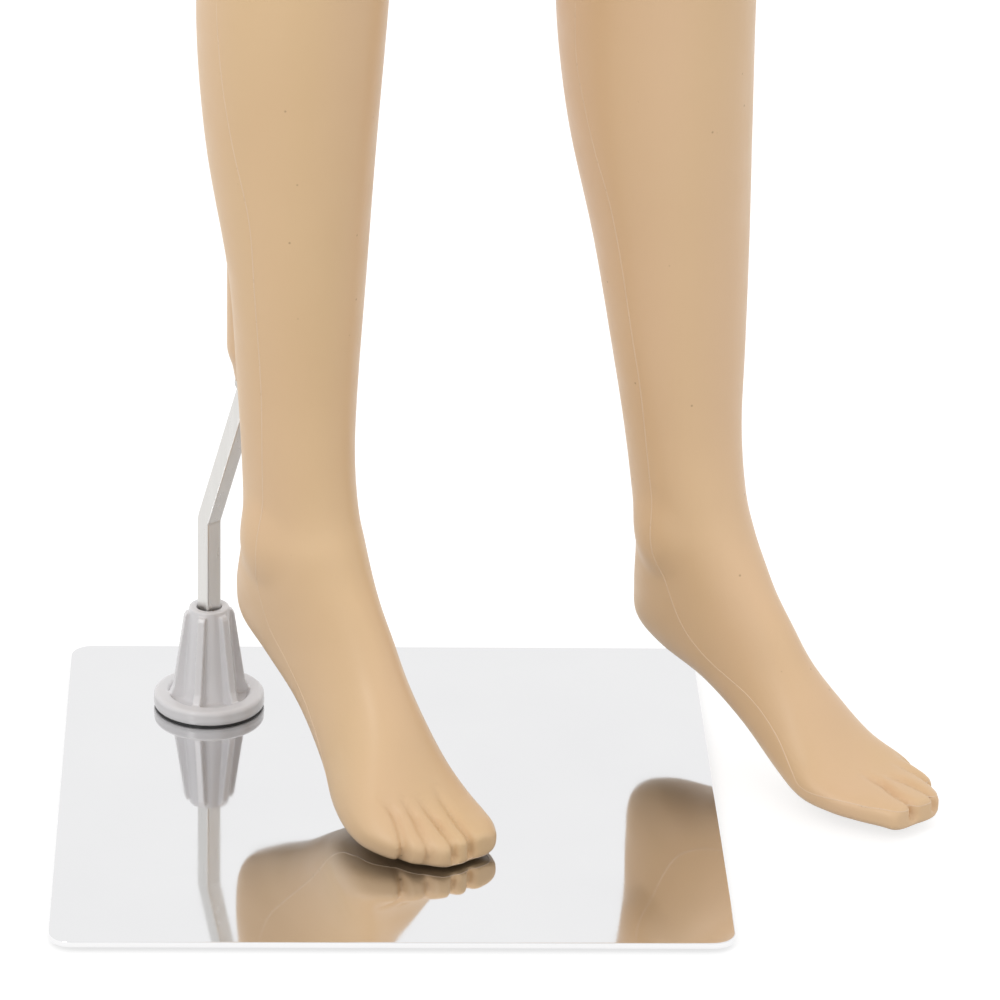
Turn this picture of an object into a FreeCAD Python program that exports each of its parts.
import FreeCAD, Part
import Sketcher
import math
import os

# Full body mannequin on a square steel base, in millimetres.
# Row frame: +Z up, the figure faces -Y, its left side is +X, and the origin is the centre
# of the base at floor level.

doc = FreeCAD.newDocument("Mannequin")
sheet = doc.addObject("Spreadsheet::Sheet", "Dims")

DIMENSIONS = {
    # base
    "plate_side": 350,
    "plate_thick": 3,
    "plate_corner": 12,
    "plate_edge": 0.6,
    "plate_turn": -37,
    "pad_radius": 10,
    "pad_thick": 3,
    "pad_inset": 20,
    # rod socket on the base; hole_x and hole_y are measured in the plate's own axes
    "hole_x": -96.9,
    "hole_y": 100.6,
    "gasket_radius": 29.3,
    "gasket_bore": 5,
    "gasket_thick": 1,
    "flange_radius": 30.3,
    "flange_rim": 5,
    "flange_edge": 2.5,
    "flange_recess": 22,
    "flange_step": 4,
    "socket_tall": 59,
    "collar_radius": 10.5,
    "collar_tall": 4,
    "neck_top": 11.5,
    "neck_foot": 15,
    "rib_top": 14,
    "rib_foot": 19.5,
    "rib_thick": 4.5,
    "rib_turn": 34.5,
    "rod_gap": 0.2,
    "rod_seat": 14,
    "rod_foot_gap": 0.5,
    "nut_radius": 6.5,
    "nut_thick": 6,
    "bolt_radius": 3,
    "bolt_hole": 3.3,
    "bolt_head": 7,
    "bolt_head_thick": 2,
    "bolt_reach": 9,
    "grub_radius": 2.5,
    "grub_reach": 5,
    "grub_height": 49,
    # bent square rod
    "rod_side": 9.5,
    "rod_bend_height": 112,
    "rod_bend_radius": 10,
    "rod_lean": 22,
    "rod_upper": 214,
    # pocket in the calf that slides over the rod
    "sleeve_radius": 8.6,
    "boss_radius": 10.6,
    "sleeve_start": 96,
    "sleeve_end_wall": 3,
    # swelling of the calf behind the pocket, set back from the rod's axis
    "swell_radius": 14,
    "swell_back": 11,
    "swell_start": 27,
    "swell_tall": 52,
    # figure
    "figure_height": 1778,
    "wall": 2.5,
    "end_wall": 6,
    "face_gap": 0.3,
    "thigh_seam": 800,
    "waist_seam": 1100,
    "neck_seam": 1500,
    "shoulder_seam": 150,
    "fit_gap": 0.3,
    "flange_thick": 3,
    "cup_wall": 2.5,
    "screw_radius": 1.75,
    "screw_head": 3.2,
    "screw_head_thick": 1.6,
    "screw_reach": 10,
    # joint fittings: flange radius, spigot radius and spigot length of each seam
    "waist_flange": 52,
    "waist_spigot": 34,
    "waist_length": 40,
    "thigh_flange": 46,
    "thigh_spigot": 30,
    "thigh_length": 36,
    "neck_flange": 30,
    "neck_spigot": 18,
    "neck_length": 28,
    "shoulder_flange": 34,
    "shoulder_spigot": 20,
    "shoulder_length": 26,
    "wrist_flange": 14,
    "wrist_spigot": 8,
    "wrist_length": 18,
}
for row, (alias, number) in enumerate(DIMENSIONS.items(), start=1):
    sheet.set(f"A{row}", alias)
    sheet.set(f"B{row}", str(number))
    sheet.setAlias(f"B{row}", alias)
doc.recompute()

FIGURE_NOMINAL = 1778.0
RIB_COUNT = 6


def dim(name):
    return float(sheet.get(name))


def amount(words):
    """Value of a sum such as "wall + 3 - seam_gap", with names read from the sheet."""
    total = 0.0
    sign = 1.0
    for word in words.split():
        if word in "+-":
            sign = 1.0 if word == "+" else -1.0
        elif word[0].isdigit():
            total += sign * float(word)
        else:
            total += sign * dim(word)
    return total


def expression(words):
    """The same sum written for setExpression."""
    parts = [w if w in "+-" or w[0].isdigit() else "Dims." + w for w in words.split()]
    return " ".join(parts)


def rotation(axis, degrees):
    return FreeCAD.Rotation(FreeCAD.Vector(*axis), degrees)


def placement(position, turn=None):
    return FreeCAD.Placement(FreeCAD.Vector(*position), turn or FreeCAD.Rotation())


# ---------------------------------------------------------------- PartDesign helpers

def new_body(label, place=None):
    body = doc.addObject("PartDesign::Body", label + "_body")
    body.Label = label
    body.Placement = place or placement((0, 0, 0))
    return body


def new_sketch(body, role, name):
    plane = [f for f in body.Origin.OriginFeatures if f.Role == role][0]
    sketch = body.newObject("Sketcher::SketchObject", name)
    sketch.AttachmentSupport = (plane, "")
    sketch.MapMode = "FlatFace"
    return sketch


ORIGIN = -1
H_AXIS = -1
V_AXIS = -2


def fix_vertex(sketch, line, x_words, y_words):
    """Pin the start of a line to sheet sums; "0" puts it on the axis."""
    for words, kind, axis in ((x_words, "DistanceX", V_AXIS), (y_words, "DistanceY", H_AXIS)):
        if words == "0":
            sketch.addConstraint(Sketcher.Constraint("PointOnObject", line, 1, axis))
        else:
            rule = Sketcher.Constraint(kind, ORIGIN, 1, line, 1, amount(words))
            number = sketch.addConstraint(rule)
            sketch.setExpression(f"Constraints[{number}]", expression(words))


def closed_outline(sketch, points):
    """Closed polygon whose corners are pairs of sheet sums."""
    spots = [FreeCAD.Vector(amount(x), amount(y), 0) for x, y in points]
    count = len(points)
    for i in range(count):
        sketch.addGeometry(Part.LineSegment(spots[i], spots[(i + 1) % count]), False)
    for i in range(count):
        sketch.addConstraint(Sketcher.Constraint("Coincident", i, 2, (i + 1) % count, 1))
    for i, (x_words, y_words) in enumerate(points):
        fix_vertex(sketch, i, x_words, y_words)


def revolve(body, name, points):
    sketch = new_sketch(body, "XZ_Plane", name + "_profile")
    closed_outline(sketch, points)
    turned = body.newObject("PartDesign::Revolution", name)
    turned.Profile = sketch
    turned.ReferenceAxis = (sketch, ["V_Axis"])
    turned.Angle = 360
    return turned


def circle_sketch(body, name, radius_words, x_words="0", y_words="0", role="XY_Plane"):
    sketch = new_sketch(body, role, name)
    centre = FreeCAD.Vector(amount(x_words), amount(y_words), 0)
    sketch.addGeometry(Part.Circle(centre, FreeCAD.Vector(0, 0, 1), amount(radius_words)), False)
    for words, kind, axis in ((x_words, "DistanceX", V_AXIS), (y_words, "DistanceY", H_AXIS)):
        if words == "0":
            sketch.addConstraint(Sketcher.Constraint("PointOnObject", 0, 3, axis))
        else:
            number = sketch.addConstraint(
                Sketcher.Constraint(kind, ORIGIN, 1, 0, 3, amount(words)))
            sketch.setExpression(f"Constraints[{number}]", expression(words))
    number = sketch.addConstraint(Sketcher.Constraint("Radius", 0, amount(radius_words)))
    sketch.setExpression(f"Constraints[{number}]", expression(radius_words))
    return sketch


def cut_through(body, name, sketch):
    """Pocket through everything on both sides of the sketch."""
    doc.recompute()
    before = body.Shape.Volume
    pocket = body.newObject("PartDesign::Pocket", name)
    pocket.Profile = sketch
    pocket.Type = "ThroughAll"
    pocket.Midplane = True
    doc.recompute()
    if body.Shape.Volume >= before:
        raise ValueError(name + " removes nothing")
    return pocket


def cut_blind(body, name, sketch, depth_words, reverse):
    """Pocket of a set depth on one side of the sketch."""
    doc.recompute()
    before = body.Shape.Volume
    pocket = body.newObject("PartDesign::Pocket", name)
    pocket.Profile = sketch
    pocket.Reversed = reverse
    pocket.setExpression("Length", expression(depth_words))
    doc.recompute()
    if body.Shape.Volume >= before:
        raise ValueError(name + " removes nothing")
    return pocket


def polar(body, name, feature, count):
    pattern = body.newObject("PartDesign::PolarPattern", name)
    pattern.Originals = [feature]
    axis = [f for f in body.Origin.OriginFeatures if f.Role == "Z_Axis"][0]
    pattern.Axis = (axis, [""])
    pattern.Angle = 360
    pattern.Occurrences = count
    body.Tip = pattern
    return pattern


def square_outline(sketch, side_words):
    """Square centred on the sketch origin, its side a sheet sum."""
    side = amount(side_words)
    half = side / 2
    corners = [(-half, -half), (half, -half), (half, half), (-half, half)]
    for i in range(4):
        start = FreeCAD.Vector(*corners[i], 0)
        end = FreeCAD.Vector(*corners[(i + 1) % 4], 0)
        sketch.addGeometry(Part.LineSegment(start, end), False)
    for i in range(4):
        sketch.addConstraint(Sketcher.Constraint("Coincident", i, 2, (i + 1) % 4, 1))
        kind = "Horizontal" if i % 2 == 0 else "Vertical"
        sketch.addConstraint(Sketcher.Constraint(kind, i))
    sketch.addConstraint(Sketcher.Constraint("Symmetric", 0, 1, 1, 2, ORIGIN, 1))
    for line, kind in ((0, "DistanceX"), (1, "DistanceY")):
        number = sketch.addConstraint(Sketcher.Constraint(kind, line, 1, line, 2, side))
        sketch.setExpression(f"Constraints[{number}]", expression(side_words))


# ---------------------------------------------------------------- base

floor_gap = dim("pad_thick")
plate_top = floor_gap + dim("plate_thick")
plate_turn = rotation((0, 0, 1), dim("plate_turn"))
socket_spot = plate_turn.multVec(FreeCAD.Vector(dim("hole_x"), dim("hole_y"), 0))


def make_base_plate():
    """Square polished sheet with rounded corners, soft edges and the socket bolt hole."""
    body = new_body("base_plate", placement((0, 0, floor_gap), plate_turn))
    sheet_pad = body.newObject("PartDesign::AdditiveBox", "plate_sheet")
    sheet_pad.setExpression("Length", "Dims.plate_side")
    sheet_pad.setExpression("Width", "Dims.plate_side")
    sheet_pad.setExpression("Height", "Dims.plate_thick")
    sheet_pad.setExpression(".AttachmentOffset.Base.x", "-Dims.plate_side / 2")
    sheet_pad.setExpression(".AttachmentOffset.Base.y", "-Dims.plate_side / 2")
    plane = [f for f in body.Origin.OriginFeatures if f.Role == "XY_Plane"][0]
    sheet_pad.AttachmentSupport = (plane, "")
    sheet_pad.MapMode = "FlatFace"
    doc.recompute()
    corners = body.newObject("PartDesign::Fillet", "plate_corners")
    upright = [f"Edge{i + 1}" for i, edge in enumerate(sheet_pad.Shape.Edges)
               if abs(edge.tangentAt(edge.FirstParameter).z) > 0.9]
    corners.Base = (sheet_pad, upright)
    corners.setExpression("Radius", "Dims.plate_corner")
    doc.recompute()
    edges = body.newObject("PartDesign::Fillet", "plate_soft_edge")
    top = [f"Edge{i + 1}" for i, edge in enumerate(corners.Shape.Edges)
           if edge.CenterOfMass.z > dim("plate_thick") - 0.01]
    edges.Base = (corners, top)
    edges.setExpression("Radius", "Dims.plate_edge")
    doc.recompute()
    hole = circle_sketch(body, "bolt_hole_sketch", "bolt_hole", "hole_x", "hole_y")
    cut_through(body, "bolt_hole_cut", hole)
    return body


def make_base_pads():
    """Rubber pads under the four corners and one under the middle."""
    reach = "Dims.plate_side / 2 - Dims.pad_inset"
    pads = []
    spots = [("0", "0"), (reach, reach), (reach, "-(" + reach + ")"),
             ("-(" + reach + ")", reach), ("-(" + reach + ")", "-(" + reach + ")")]
    for number, (x_rule, y_rule) in enumerate(spots):
        pad = doc.addObject("Part::Cylinder", f"pad_{number}")
        pad.setExpression("Radius", "Dims.pad_radius")
        pad.setExpression("Height", "Dims.pad_thick")
        pad.setExpression(".Placement.Base.x", x_rule)
        pad.setExpression(".Placement.Base.y", y_rule)
        pads.append(pad)
    group = doc.addObject("Part::Compound", "base_pads_group")
    group.Label = "base_pads"
    group.Links = pads
    group.Placement = placement((0, 0, 0), plate_turn)
    return group


def make_gasket():
    """Thin rubber ring between the socket flange and the plate."""
    body = new_body("socket_gasket", placement((socket_spot.x, socket_spot.y, plate_top)))
    revolve(body, "gasket_ring", [
        ("gasket_bore", "0"), ("gasket_radius", "0"),
        ("gasket_radius", "gasket_thick"), ("gasket_bore", "gasket_thick")])
    return body


socket_foot = plate_top + dim("gasket_thick")


def make_socket():
    """Tapered plastic socket with six ribs that flare onto a round flange."""
    body = new_body("rod_socket", placement((socket_spot.x, socket_spot.y, socket_foot)))
    revolve(body, "socket_turned", [
        ("0", "0"),
        ("flange_radius - flange_edge", "0"),
        ("flange_radius", "flange_edge"),
        ("flange_radius", "flange_rim"),
        ("flange_radius - flange_edge", "flange_rim + flange_edge"),
        ("flange_recess", "flange_rim + flange_edge"),
        ("flange_recess", "flange_step"),
        ("neck_foot", "flange_step"),
        ("neck_top", "socket_tall - collar_tall"),
        ("collar_radius", "socket_tall - collar_tall"),
        ("collar_radius", "socket_tall"),
        ("0", "socket_tall")])
    doc.recompute()
    rib_profile = new_sketch(body, "XZ_Plane", "rib_profile")
    rib_profile.AttachmentOffset = placement((0, 0, 0), rotation((0, 1, 0), dim("rib_turn")))
    rib_profile.setExpression(".AttachmentOffset.Rotation.Angle", "Dims.rib_turn * 1 deg")
    closed_outline(rib_profile, [
        ("collar_radius - 2", "flange_step - 1"),
        ("flange_radius - flange_edge", "flange_step - 1"),
        ("flange_recess", "flange_rim + flange_edge + 3"),
        ("rib_foot", "flange_rim + flange_edge + 8"),
        ("rib_top", "socket_tall - collar_tall"),
        ("collar_radius - 2", "socket_tall - collar_tall")])
    rib = body.newObject("PartDesign::Pad", "rib")
    rib.Profile = rib_profile
    rib.Midplane = True
    rib.setExpression("Length", "Dims.rib_thick")
    doc.recompute()
    polar(body, "ribs", rib, RIB_COUNT)
    doc.recompute()
    bore = new_sketch(body, "XY_Plane", "rod_bore_sketch")
    bore.AttachmentOffset = placement((0, 0, dim("rod_seat")))
    bore.setExpression(".AttachmentOffset.Base.z", "Dims.rod_seat")
    square_outline(bore, "rod_side + rod_gap + rod_gap")
    cut_blind(body, "rod_bore", bore, "socket_tall", True)
    nut_well = circle_sketch(body, "nut_well_sketch", "nut_radius")
    cut_blind(body, "nut_well", nut_well, "nut_thick", True)
    bolt_well = circle_sketch(body, "bolt_well_sketch", "bolt_hole")
    cut_blind(body, "bolt_well", bolt_well, "bolt_reach", True)
    grub_hole = circle_sketch(body, "grub_hole_sketch", "grub_radius", "0", "grub_height",
                              role="YZ_Plane")
    cut_blind(body, "grub_hole", grub_hole, "socket_tall", True)
    return body


def make_socket_nut():
    """Hexagon nut held in the foot of the socket."""
    body = new_body("socket_nut", placement((socket_spot.x, socket_spot.y, socket_foot)))
    outline = new_sketch(body, "XY_Plane", "nut_outline")
    for i in range(6):
        corners = []
        for turn in (i, i + 1):
            angle = math.radians(60 * turn)
            reach = dim("nut_radius") - 0.1
            corners.append(FreeCAD.Vector(reach * math.cos(angle), reach * math.sin(angle), 0))
        outline.addGeometry(Part.LineSegment(*corners), False)
    for i in range(6):
        outline.addConstraint(Sketcher.Constraint("Coincident", i, 2, (i + 1) % 6, 1))
    rim = outline.addGeometry(
        Part.Circle(FreeCAD.Vector(0, 0, 0), FreeCAD.Vector(0, 0, 1), dim("nut_radius") - 0.1), True)
    outline.addConstraint(Sketcher.Constraint("Coincident", rim, 3, ORIGIN, 1))
    for i in range(6):
        outline.addConstraint(Sketcher.Constraint("PointOnObject", i, 1, rim))
    for i in range(5):
        outline.addConstraint(Sketcher.Constraint("Equal", i, i + 1))
    outline.addConstraint(Sketcher.Constraint("PointOnObject", 0, 1, H_AXIS))
    number = outline.addConstraint(Sketcher.Constraint("Radius", rim, dim("nut_radius") - 0.1))
    outline.setExpression(f"Constraints[{number}]", "Dims.nut_radius - 0.1")
    block = body.newObject("PartDesign::Pad", "nut_block")
    block.Profile = outline
    block.setExpression("Length", "Dims.nut_thick - 0.1")
    thread = circle_sketch(body, "nut_thread_sketch", "bolt_radius + 0.05")
    cut_through(body, "nut_thread", thread)
    return body


def make_base_bolt():
    """Low-head bolt that comes up through the plate into the socket's nut."""
    foot = floor_gap - dim("bolt_head_thick")
    body = new_body("base_bolt", placement((socket_spot.x, socket_spot.y, foot)))
    reach = "bolt_head_thick + plate_thick + gasket_thick + bolt_reach - 0.5"
    revolve(body, "bolt_turned", [
        ("0", "0"), ("bolt_head - 1", "0"), ("bolt_head", "1"),
        ("bolt_head", "bolt_head_thick"), ("bolt_radius", "bolt_head_thick"),
        ("bolt_radius", reach), ("0", reach)])
    return body


def make_grub_screw():
    """Set screw in the left side of the socket, between two ribs, that bears on the rod."""
    height = socket_foot + dim("grub_height")
    tip = socket_spot.x + dim("rod_side") / 2 + 0.1
    turn = rotation((0, 1, 0), 90)
    body = new_body("grub_screw", placement((tip, socket_spot.y, height), turn))
    revolve(body, "grub_turned", [
        ("0", "0"), ("grub_radius - 0.6", "0"), ("grub_radius - 0.05", "0.6"),
        ("grub_radius - 0.05", "grub_reach"), ("0", "grub_reach")])
    return body


# ---------------------------------------------------------------- rod and calf pocket

rod_foot = socket_foot + dim("rod_seat") + dim("rod_foot_gap")
bend_height = plate_top + dim("rod_bend_height")
lean = math.radians(dim("rod_lean"))
lean_axis = FreeCAD.Vector(0, -math.sin(lean), math.cos(lean))
rod_bend = FreeCAD.Vector(socket_spot.x, socket_spot.y, bend_height)
lean_turn = rotation((1, 0, 0), dim("rod_lean"))


def make_rod():
    """Square bar, upright in the socket and bent forward into the calf."""
    body = new_body("support_rod", placement((socket_spot.x, socket_spot.y, rod_foot)))
    path = new_sketch(body, "YZ_Plane", "rod_path")
    straight = bend_height - rod_foot
    tangent = dim("rod_bend_radius") * math.tan(lean / 2)
    bend_start = FreeCAD.Vector(0, straight - tangent, 0)
    corner = FreeCAD.Vector(0, straight, 0)
    forward = FreeCAD.Vector(-math.sin(lean), math.cos(lean), 0)
    bend_end = corner + forward * tangent
    centre = bend_start + FreeCAD.Vector(-dim("rod_bend_radius"), 0, 0)
    halfway = FreeCAD.Vector(math.cos(lean / 2), math.sin(lean / 2), 0)
    middle = centre + halfway * dim("rod_bend_radius")
    rod_end = corner + forward * dim("rod_upper")
    path.addGeometry(Part.LineSegment(FreeCAD.Vector(0, 0, 0), bend_start), False)
    path.addGeometry(Part.Arc(bend_start, middle, bend_end), False)
    path.addGeometry(Part.LineSegment(bend_end, rod_end), False)
    path.addConstraint(Sketcher.Constraint("Coincident", 0, 1, ORIGIN, 1))
    path.addConstraint(Sketcher.Constraint("Vertical", 0))
    path.addConstraint(Sketcher.Constraint("Tangent", 0, 2, 1, 1))
    path.addConstraint(Sketcher.Constraint("Tangent", 1, 2, 2, 1))
    number = path.addConstraint(Sketcher.Constraint("Radius", 1, dim("rod_bend_radius")))
    path.setExpression(f"Constraints[{number}]", "Dims.rod_bend_radius")
    number = path.addConstraint(Sketcher.Constraint("Distance", 0, bend_start.y))
    path.setExpression(
        f"Constraints[{number}]",
        "Dims.rod_bend_height - Dims.gasket_thick - Dims.rod_seat - Dims.rod_foot_gap"
        " - Dims.rod_bend_radius * tan(Dims.rod_lean / 2)")
    number = path.addConstraint(
        Sketcher.Constraint("Distance", 2, dim("rod_upper") - tangent))
    path.setExpression(
        f"Constraints[{number}]",
        "Dims.rod_upper - Dims.rod_bend_radius * tan(Dims.rod_lean / 2)")
    profile = new_sketch(body, "XY_Plane", "rod_section")
    square_outline(profile, "rod_side")
    doc.recompute()
    pipe = body.newObject("PartDesign::AdditivePipe", "rod_pipe")
    pipe.Profile = profile
    pipe.Spine = (path, ["Edge1", "Edge2", "Edge3"])
    return body


def along_rod(distance):
    """Point on the leaning part of the rod, measured from the bend."""
    return rod_bend + lean_axis * distance


sleeve_length = dim("rod_upper") + 1 - dim("sleeve_start")


def make_calf_sleeve():
    """Plastic tube with a square bore, fixed in the calf, that slides over the rod."""
    body = new_body("calf_sleeve", placement(along_rod(dim("sleeve_start") + 2), lean_turn))
    outline = circle_sketch(body, "sleeve_outline", "sleeve_radius - 0.1")
    tube = body.newObject("PartDesign::Pad", "sleeve_tube")
    tube.Profile = outline
    tube.setExpression("Length", "Dims.rod_upper - Dims.sleeve_start + 1 + Dims.sleeve_end_wall")
    bore = new_sketch(body, "XY_Plane", "sleeve_bore_sketch")
    square_outline(bore, "rod_side + rod_gap + rod_gap")
    cut_blind(body, "sleeve_bore", bore, "rod_upper - sleeve_start - 1", True)
    return body


# ---------------------------------------------------------------- body sections

# Every section of a shell is one closed curve round the limb:
# (centre x, half width, front y, front z, back y, back z).
# x is measured from the row's origin for the legs, and from the body's middle plane elsewhere.

BODY_X = 70

RIGHT_LEG = [
    (-10, 76, -52, 950, 110, 950),
    (-14, 85, -60, 900, 122, 900),
    (-14, 84, -57, 850, 118, 850),
    (-14, 76, -48, 780, 110, 780),
    (-16, 66, -35, 700, 102, 700),
    (-19, 55, -20, 620, 95, 620),
    (-20, 49, -11, 575, 92, 575),
    (-21, 46, -4, 540, 100, 540),
    (-22, 45, 2, 490, 107, 490),
    (-23, 46, 8, 430, 111, 430),
    (-23, 42, 14, 360, 106, 360),
    (-22, 36, 20, 290, 91.5, 290),
    (-21, 31, 23, 230, 88, 230),
    (-21, 28, 22, 190, 86, 190),
    (-20, 27, 18, 161, 87, 151),
    (-20, 27.5, 11, 145, 90, 127),
    (-19, 27, 4, 130, 97, 102),
    (-19, 25, -6, 115, 97, 81),
    (-19, 23.5, -17, 98, 76, 66),
    (-20, 23.5, -28, 81, 44, 49),
    (-23, 27.5, -41, 64, 11, 28),
    (-27.5, 34, -54, 46, -19, 12),
    (-29.5, 36.5, -67, 34, -46, 8),
    (-27, 34, -79, 28, -68, 7.5),
    (-24, 29, -88, 25, -83, 7.5),
    (-21, 23, -96, 21.5, -95, 8),
]

LEFT_LEG = [
    (150, 76, -52, 950, 110, 950),
    (154, 85, -62, 900, 120, 900),
    (154, 84, -66, 850, 110, 850),
    (156, 76, -72, 780, 84, 780),
    (160, 66, -78, 700, 58, 700),
    (163, 55, -80, 620, 36, 620),
    (164, 49, -76, 575, 27, 575),
    (164, 45, -70, 540, 30, 540),
    (163, 47, -68, 490, 38, 490),
    (162, 49, -65, 430, 45, 430),
    (164, 47, -64, 360, 36, 360),
    (169, 41, -62, 290, 19, 290),
    (172, 36, -61, 230, 7, 230),
    (174, 31, -62, 185, 1, 185),
    (176, 28, -68, 151, -3, 140),
    (178, 27, -76, 133, -3, 112),
    (180, 25.5, -86, 118, 2, 82),
    (181, 23.5, -98, 104, 2, 60),
    (182, 22, -111, 90, -16, 48),
    (184, 22, -124, 73, -49, 40),
    (187, 24.5, -139, 57, -84, 28),
    (190, 29, -153, 42, -118, 14),
    (193.5, 32, -166, 33, -145, 9),
    (197, 31, -178, 28, -166, 8.5),
    (198.5, 27, -188, 25, -182, 8.5),
    (197.5, 21, -198, 21.5, -197, 8.5),
]

TRUNK = [
    (0, 48, -28, 838, 66, 838),
    (0, 118, -50, 862, 108, 862),
    (0, 158, -62, 900, 127, 900),
    (0, 168, -66, 935, 130, 935),
    (0, 161, -67, 975, 122, 975),
    (0, 143, -65, 1020, 104, 1020),
    (0, 124, -62, 1065, 88, 1065),
    (0, 116, -62, 1105, 82, 1105),
    (0, 120, -68, 1150, 86, 1150),
    (0, 129, -86, 1200, 96, 1200),
    (0, 136, -110, 1245, 104, 1245),
    (0, 140, -116, 1280, 110, 1280),
    (0, 142, -92, 1325, 114, 1325),
    (0, 140, -68, 1376, 112, 1376),
    (0, 130, -50, 1418, 102, 1418),
    (0, 98, -34, 1449, 88, 1449),
    (0, 64, -24, 1470, 76, 1470),
    (0, 51, -24, 1490, 68, 1490),
    (0, 48, -27, 1515, 62, 1515),
]

HEAD = [
    (0, 49, -26, 1495, 66, 1495),
    (0, 47, -28, 1520, 62, 1520),
    (0, 48, -42, 1548, 62, 1548),
    (0, 52, -80, 1566, 68, 1566),
    (0, 60, -88, 1588, 82, 1588),
    (0, 68, -88, 1620, 100, 1620),
    (0, 74, -87, 1660, 110, 1660),
    (0, 77, -84, 1698, 112, 1698),
    (0, 73, -75, 1728, 106, 1728),
    (0, 62, -58, 1754, 92, 1754),
    (0, 44, -34, 1770, 68, 1770),
    (0, 22, -6, 1777, 42, 1777),
]

# x is measured outward from the body's middle plane, for either arm.
ARM = [
    (172, 16, 6, 1446, 38, 1446),
    (173, 34, -12, 1438, 56, 1438),
    (176, 45, -22, 1418, 66, 1418),
    (180, 49, -27, 1388, 71, 1388),
    (186, 48, -27, 1354, 70, 1354),
    (194, 44, -24, 1310, 67, 1310),
    (203, 40, -20, 1260, 63, 1260),
    (212, 38, -19, 1200, 60, 1200),
    (220, 36, -19, 1140, 56, 1140),
    (227, 36, -23, 1095, 53, 1095),
    (235, 36, -33, 1045, 43, 1045),
    (243, 31, -44, 985, 26, 985),
    (251, 25, -53, 920, 3, 920),
    (255, 20, -60, 882, -9, 882),
    (258, 19, -66, 850, -14, 850),
]

scale = dim("figure_height") / FIGURE_NOMINAL
POINTS_ROUND = 16
SQUARENESS = 2.1


def curve_through(points):
    curve = Part.BSplineCurve()
    even = [float(i) for i in range(len(points) + 1)]
    curve.interpolate(Points=points, PeriodicFlag=True, Parameters=even)
    return Part.Wire(curve.toShape())


def rounded(angle):
    """Cosine and sine pushed a little towards the corners of the box."""
    power = 2 / SQUARENESS
    across = math.copysign(abs(math.cos(angle)) ** power, math.cos(angle))
    along = math.copysign(abs(math.sin(angle)) ** power, math.sin(angle))
    return across, along


def section_wire(section, middle_x, inset, side=1):
    """Closed curve of one section, shrunk on all sides by inset; side -1 mirrors its x."""
    centre_x, half_width, front_y, front_z, back_y, back_z = section
    front = FreeCAD.Vector(0, front_y, front_z)
    back = FreeCAD.Vector(0, back_y, back_z)
    centre = (front + back) * 0.5
    centre.x = middle_x + side * centre_x
    depth = (front - back) * 0.5
    depth = depth * ((depth.Length - inset) / depth.Length)
    points = []
    for i in range(POINTS_ROUND):
        across, along = rounded(2 * math.pi * i / POINTS_ROUND)
        spot = centre + depth * along + FreeCAD.Vector(across * (half_width - inset), 0, 0)
        points.append(spot * scale)
    return curve_through(points)


def loft(wires):
    solid = Part.makeLoft(wires, True, False, False, 5)
    if solid.Volume < 0:
        solid.reverse()
    return solid


def outer_loft(sections, middle_x, side=1):
    return loft([section_wire(s, middle_x, 0, side) for s in sections])


def inner_loft(sections, middle_x, side=1, skip_first=0, skip_last=0):
    """The hollow inside a shell: the same sections one wall thickness in."""
    kept = sections[skip_first:len(sections) - skip_last]
    return loft([section_wire(s, middle_x, dim("wall"), side) for s in kept])


BIG = 3000


def half_space(point, normal):
    """Huge block that fills the side of a plane its normal points to."""
    block = Part.makeBox(BIG, BIG, BIG, FreeCAD.Vector(-BIG / 2, -BIG / 2, 0))
    block.Placement = FreeCAD.Placement(
        point, FreeCAD.Rotation(FreeCAD.Vector(0, 0, 1), normal))
    return block


def keep_side(shape, point, normal):
    return shape.common(half_space(point, normal))


def keep_feature(label, shape):
    """Put a finished shape in the document under its node name."""
    solids = shape.Solids
    tidy = solids[0] if len(solids) == 1 else Part.makeCompound(solids)
    feature = doc.addObject("Part::Feature", label + "_shape")
    feature.Label = label
    feature.Shape = tidy
    return feature


# ---------------------------------------------------------------- seams and their fittings

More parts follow.
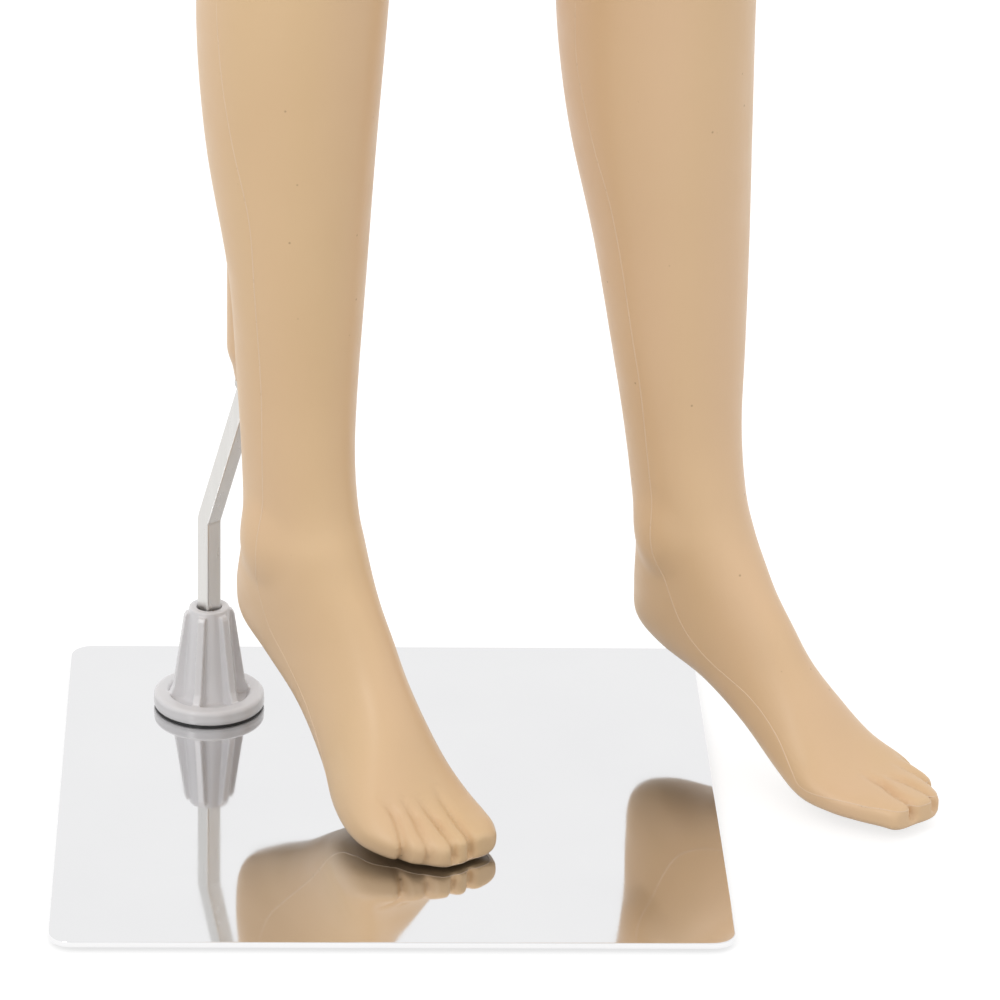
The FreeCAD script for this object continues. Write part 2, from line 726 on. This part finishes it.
class Seam:
    """A flat joint between two shells: a cup in the parent and a spigot on the child."""

    def __init__(self, name, prefix, point, outward, screws=4):
        self.name = name
        self.prefix = prefix
        self.point = FreeCAD.Vector(*point) * scale
        self.outward = FreeCAD.Vector(*outward)
        self.outward.normalize()
        self.screws = screws

    def size(self, what):
        return dim(f"{self.prefix}_{what}")

    def side_place(self, toward):
        """Frame on one face of the seam, +Z into that side's shell: -1 parent, 1 child."""
        start = self.point + self.outward * (toward * dim("face_gap"))
        turn = FreeCAD.Rotation(FreeCAD.Vector(0, 0, 1), self.outward * toward)
        return FreeCAD.Placement(start, turn)

    def screw_spots(self):
        middle = (self.size("flange") + self.size("spigot") + dim("cup_wall")) / 2
        angles = [math.radians(45 + 360 * i / self.screws) for i in range(self.screws)]
        return [FreeCAD.Vector(middle * math.cos(a), middle * math.sin(a), 0) for a in angles]

    def recess(self, toward):
        """Space that a fitting and its screws take out of a shell's end wall."""
        space = Part.makeCylinder(self.size("flange") + 0.1, dim("flange_thick"))
        if toward < 0:
            barrel = self.size("spigot") + dim("fit_gap") + dim("cup_wall") + 0.1
            space = space.fuse(Part.makeCylinder(barrel, self.size("length") + 20))
        for spot in self.screw_spots():
            hole = Part.makeCylinder(dim("screw_radius") + 0.05, dim("screw_reach") + 2)
            hole.translate(spot)
            space = space.fuse(hole)
        space.Placement = self.side_place(toward)
        return space

    def keep(self, shape, toward, setback=0.0):
        """The part of a shape on one side, its face set back from the seam plane."""
        place = self.side_place(toward)
        inward = self.outward * toward
        return keep_side(shape, place.Base + inward * setback, inward)

    def screw_solids(self, toward):
        """Screws sunk flush in a fitting's flange."""
        solids = []
        for spot in self.screw_spots():
            head = Part.makeCylinder(dim("screw_head"), dim("screw_head_thick"))
            shank = Part.makeCylinder(dim("screw_radius"), dim("screw_reach"))
            screw = head.fuse(shank).removeSplitter()
            screw.translate(spot)
            screw.Placement = self.side_place(toward).multiply(screw.Placement)
            solids.extend(screw.Solids)
        return solids


def make_cup(seam):
    """Flanged cup screwed into the parent's end wall."""
    body = new_body(seam.name + "_socket", seam.side_place(-1))
    flange = f"{seam.prefix}_flange"
    bore = f"{seam.prefix}_spigot + fit_gap"
    deep = f"{seam.prefix}_length + 1"
    revolve(body, seam.name + "_cup", [
        (bore, "0"), (flange, "0"), (flange, "flange_thick"),
        (bore + " + cup_wall", "flange_thick"), (bore + " + cup_wall", deep + " + cup_wall"),
        ("0", deep + " + cup_wall"), ("0", deep), (bore, deep)])
    drill_fitting(body, seam)
    return body


def make_plug(seam):
    """Flange and hollow spigot screwed into the child's end wall."""
    body = new_body(seam.name + "_plug", seam.side_place(1))
    spigot = f"{seam.prefix}_spigot"
    flange = f"{seam.prefix}_flange"
    bottom = f"0 - {seam.prefix}_length"
    hollow = spigot + " - cup_wall - 1"
    revolve(body, seam.name + "_spigot", [
        (hollow, bottom), (spigot + " - 1", bottom), (spigot, bottom + " + 1"),
        (spigot, "0"), (flange, "0"), (flange, "flange_thick"), (hollow, "flange_thick")])
    drill_fitting(body, seam)
    return body


def drill_fitting(body, seam):
    """Counterbored screw holes round a fitting's flange."""
    if not seam.screws:
        return
    spot = seam.screw_spots()[0]
    ring = f"(Dims.{seam.prefix}_flange + Dims.{seam.prefix}_spigot + Dims.cup_wall) / 2"
    cuts = []
    for name, radius in (("shank", "screw_radius + 0.05"), ("head", "screw_head + 0.05")):
        sketch = new_sketch(body, "XY_Plane", f"{seam.name}_{name}_sketch")
        centre = FreeCAD.Vector(spot.x, spot.y, 0)
        circle = Part.Circle(centre, FreeCAD.Vector(0, 0, 1), amount(radius))
        sketch.addGeometry(circle, False)
        for kind, value in (("DistanceX", spot.x), ("DistanceY", spot.y)):
            rule = Sketcher.Constraint(kind, ORIGIN, 1, 0, 3, value)
            number = sketch.addConstraint(rule)
            sketch.setExpression(f"Constraints[{number}]", ring + " * cos(45 deg)")
        number = sketch.addConstraint(Sketcher.Constraint("Radius", 0, amount(radius)))
        sketch.setExpression(f"Constraints[{number}]", expression(radius))
        if name == "shank":
            cut = cut_blind(body, f"{seam.name}_{name}_hole", sketch, "flange_thick", True)
        else:
            cut = cut_blind(body, f"{seam.name}_{name}_hole", sketch, "screw_head_thick", True)
        cuts.append(polar(body, f"{seam.name}_{name}_ring", cut, seam.screws))
        doc.recompute()


waist = Seam("waist", "waist", (BODY_X, 10, dim("waist_seam")), (0, 0, 1))
thigh = Seam("thigh", "thigh", (157, 6, dim("thigh_seam")), (0, 0, -1))
neck = Seam("neck", "neck", (BODY_X, 20, dim("neck_seam")), (0, 0, 1), screws=3)
shoulders = {}
wrists = {}
FOREARM = (0.108, -0.222, -0.969)
WRIST = (256, -35, 872)
for side, name in ((1, "left"), (-1, "right")):
    reach = BODY_X + side * dim("shoulder_seam")
    shoulders[name] = Seam(f"{name}_shoulder", "shoulder", (reach, 22, 1391), (side, 0, 0))
    spot = (BODY_X + side * WRIST[0], WRIST[1], WRIST[2])
    aim = (side * FOREARM[0], FOREARM[1], FOREARM[2])
    wrists[name] = Seam(f"{name}_wrist", "wrist", spot, aim, screws=0)


# ---------------------------------------------------------------- shells

wall = dim("wall")
end_wall = dim("end_wall")


def make_lower_body():
    """Pelvis, the standing leg and the stub of the other thigh, moulded as one shell."""
    outer = waist.keep(outer_loft(TRUNK, BODY_X), -1)
    outer = outer.fuse(outer_loft(RIGHT_LEG, 0))
    outer = outer.fuse(thigh.keep(outer_loft(LEFT_LEG, 0), -1))
    boss = rod_cylinder("boss_radius", dim("sleeve_start"), sleeve_length + 8)
    outer = outer.fuse(boss).fuse(calf_swelling())
    inner = waist.keep(inner_loft(TRUNK, BODY_X, skip_first=1), -1, end_wall)
    inner = inner.fuse(inner_loft(RIGHT_LEG, 0, skip_last=5))
    inner = inner.fuse(thigh.keep(inner_loft(LEFT_LEG, 0), -1, end_wall))
    inner = inner.cut(boss)
    bore = rod_cylinder("sleeve_radius", dim("sleeve_start") - 5, sleeve_length + 10)
    shell = outer.cut(inner).cut(bore)
    shell = shell.cut(waist.recess(-1)).cut(thigh.recess(-1))
    return keep_feature("lower_body", shell)


def calf_swelling():
    """Upright round-ended bulge at the back of the calf, over the mouth of the rod's pocket."""
    mouth = along_rod(dim("sleeve_start"))
    middle = along_rod(dim("sleeve_start") + 45)
    low = FreeCAD.Vector(middle.x, middle.y + dim("swell_back"), mouth.z + dim("swell_start"))
    high = low + FreeCAD.Vector(0, 0, dim("swell_tall"))
    radius = dim("swell_radius")
    bulge = Part.makeCylinder(radius, dim("swell_tall"), low)
    return bulge.fuse([Part.makeSphere(radius, low), Part.makeSphere(radius, high)])


def rod_cylinder(radius_name, start, length):
    """Cylinder round the leaning part of the rod."""
    cylinder = Part.makeCylinder(dim(radius_name), length)
    cylinder.Placement = FreeCAD.Placement(along_rod(start), lean_turn)
    return cylinder


def make_left_leg():
    """Removable left leg, a closed blow-moulded shell."""
    outer = thigh.keep(outer_loft(LEFT_LEG, 0), 1)
    inner = thigh.keep(inner_loft(LEFT_LEG, 0, skip_last=5), 1, end_wall)
    shell = outer.cut(inner).cut(thigh.recess(1))
    return keep_feature("left_leg", shell)


def shoulder_loft(side, inset):
    """Bridge from the chest out to the flat shoulder face."""
    rows = [(60, 22, 1385, 78, 60), (100, 22, 1389, 66, 58), (150, 22, 1391, 56, 50)]
    wires = []
    for x, y, z, tall, deep in rows:
        points = []
        for i in range(POINTS_ROUND):
            across, along = rounded(2 * math.pi * i / POINTS_ROUND)
            spot = FreeCAD.Vector(BODY_X + side * x, y + along * (deep - inset),
                                  z + across * (tall - inset))
            points.append(spot * scale)
        wires.append(curve_through(points))
    return loft(wires)


def make_torso():
    """Chest and neck stub, with a flat face for each arm."""
    outer = neck.keep(waist.keep(outer_loft(TRUNK, BODY_X), 1), -1)
    inner = inner_loft(TRUNK, BODY_X)
    inner = neck.keep(waist.keep(inner, 1, end_wall), -1, end_wall)
    for name, side in (("left", 1), ("right", -1)):
        seam = shoulders[name]
        outer = outer.fuse(seam.keep(shoulder_loft(side, 0), -1))
        inner = inner.fuse(seam.keep(shoulder_loft(side, wall), -1, end_wall))
    shell = outer.cut(inner)
    for seam, toward in ((waist, 1), (neck, -1), (shoulders["left"], -1), (shoulders["right"], -1)):
        shell = shell.cut(seam.recess(toward))
    return keep_feature("torso", shell)


def make_head():
    outer = neck.keep(outer_loft(HEAD, BODY_X), 1)
    inner = neck.keep(inner_loft(HEAD, BODY_X, skip_last=1), 1, end_wall)
    shell = outer.cut(inner).cut(neck.recess(1))
    return keep_feature("head", shell)


def make_arm(name, side):
    shoulder = shoulders[name]
    wrist = wrists[name]
    outer = wrist.keep(shoulder.keep(outer_loft(ARM, BODY_X, side), 1), -1)
    inner = inner_loft(ARM, BODY_X, side, skip_first=1)
    inner = wrist.keep(shoulder.keep(inner, 1, end_wall), -1, end_wall)
    shell = outer.cut(inner).cut(shoulder.recess(1)).cut(wrist.recess(-1))
    return keep_feature(f"{name}_arm", shell)


# Palm sections: (distance from the wrist, half thickness, half width).
PALM = [(0, 18, 24.5), (22, 16.5, 29), (55, 14.5, 37), (82, 12, 39), (96, 9, 36)]
# Fingers: (root across the palm, root distance, length, root radius, tip radius, spread degrees).
FINGERS = [(-28, 88, 66, 8.5, 6.5, -2), (-9.5, 90, 74, 8.5, 6.5, 0), (9.5, 88, 68, 8.5, 6.5, 1),
           (27, 82, 54, 7.5, 5.8, 3), (-24, 34, 62, 10.5, 7.5, 20)]


def finger(across, root, length, root_radius, tip_radius, spread):
    """Tapered finger with rounded ends, pointing down the hand."""
    cone = Part.makeCone(root_radius, tip_radius, length)
    ball = Part.makeSphere(root_radius)
    tip = Part.makeSphere(tip_radius)
    tip.translate(FreeCAD.Vector(0, 0, length))
    solid = cone.fuse([ball, tip])
    solid.Placement = FreeCAD.Placement(
        FreeCAD.Vector(0, across, root), rotation((1, 0, 0), spread))
    return solid


def palm(inset, start, stop):
    wires = []
    for distance, half_thick, half_width in PALM:
        points = []
        for i in range(POINTS_ROUND):
            across, along = rounded(2 * math.pi * i / POINTS_ROUND)
            points.append(FreeCAD.Vector(
                across * (half_thick - inset), along * (half_width - inset), distance))
        wires.append(curve_through(points))
    slab = Part.makeBox(200, 200, stop - start, FreeCAD.Vector(-100, -100, start))
    return loft(wires).common(slab)


def make_hand(name, side):
    """Hand that plugs into the wrist, its thumb to the front."""
    wrist = wrists[name]
    outer = palm(0, 0, 96)
    for row in FINGERS:
        outer = outer.fuse(finger(*row))
    shell = outer.cut(palm(wall, end_wall, 80))
    down = wrist.outward
    forward = FreeCAD.Vector(0, 1, 0) - down * down.y
    forward.normalize()
    across = forward.cross(down)
    turn = FreeCAD.Rotation(across, forward, down, "ZXY")
    shell.Placement = FreeCAD.Placement(wrist.side_place(1).Base, turn)
    shell = shell.cut(wrist.recess(1))
    return keep_feature(f"{name}_hand", shell)


def make_screws(label, places):
    solids = []
    for seam, toward in places:
        solids.extend(seam.screw_solids(toward))
    return keep_feature(label, Part.makeCompound(solids))


# ---------------------------------------------------------------- build, check and write

nodes = [
    make_base_plate(), make_base_pads(), make_gasket(), make_socket(), make_socket_nut(),
    make_base_bolt(), make_grub_screw(), make_rod(), make_calf_sleeve(),
    make_lower_body(), make_left_leg(), make_torso(), make_head(),
]
for name, side in (("left", 1), ("right", -1)):
    nodes.append(make_arm(name, side))
    nodes.append(make_hand(name, side))
    nodes.extend([make_cup(shoulders[name]), make_plug(shoulders[name])])
    nodes.extend([make_cup(wrists[name]), make_plug(wrists[name])])
    nodes.append(make_screws(f"{name}_arm_screws", [(shoulders[name], 1)]))
for seam in (waist, thigh, neck):
    nodes.extend([make_cup(seam), make_plug(seam)])
nodes.append(make_screws("lower_body_screws", [(waist, -1), (thigh, -1)]))
nodes.append(make_screws("left_leg_screws", [(thigh, 1)]))
nodes.append(make_screws("torso_screws", [
    (waist, 1), (neck, -1), (shoulders["left"], -1), (shoulders["right"], -1)]))
nodes.append(make_screws("head_screws", [(neck, 1)]))
doc.recompute()

for item in doc.Objects:
    if "Invalid" in item.State or "Error" in item.State:
        raise ValueError(f"{item.Label} failed: {item.State}")
for node in nodes:
    if node.Shape.isNull() or not node.Shape.isValid():
        raise ValueError(f"{node.Label} has no valid shape")

os.makedirs("parts", exist_ok=True)
for node in nodes:
    node.Shape.exportStep(f"parts/{node.Label}.step")
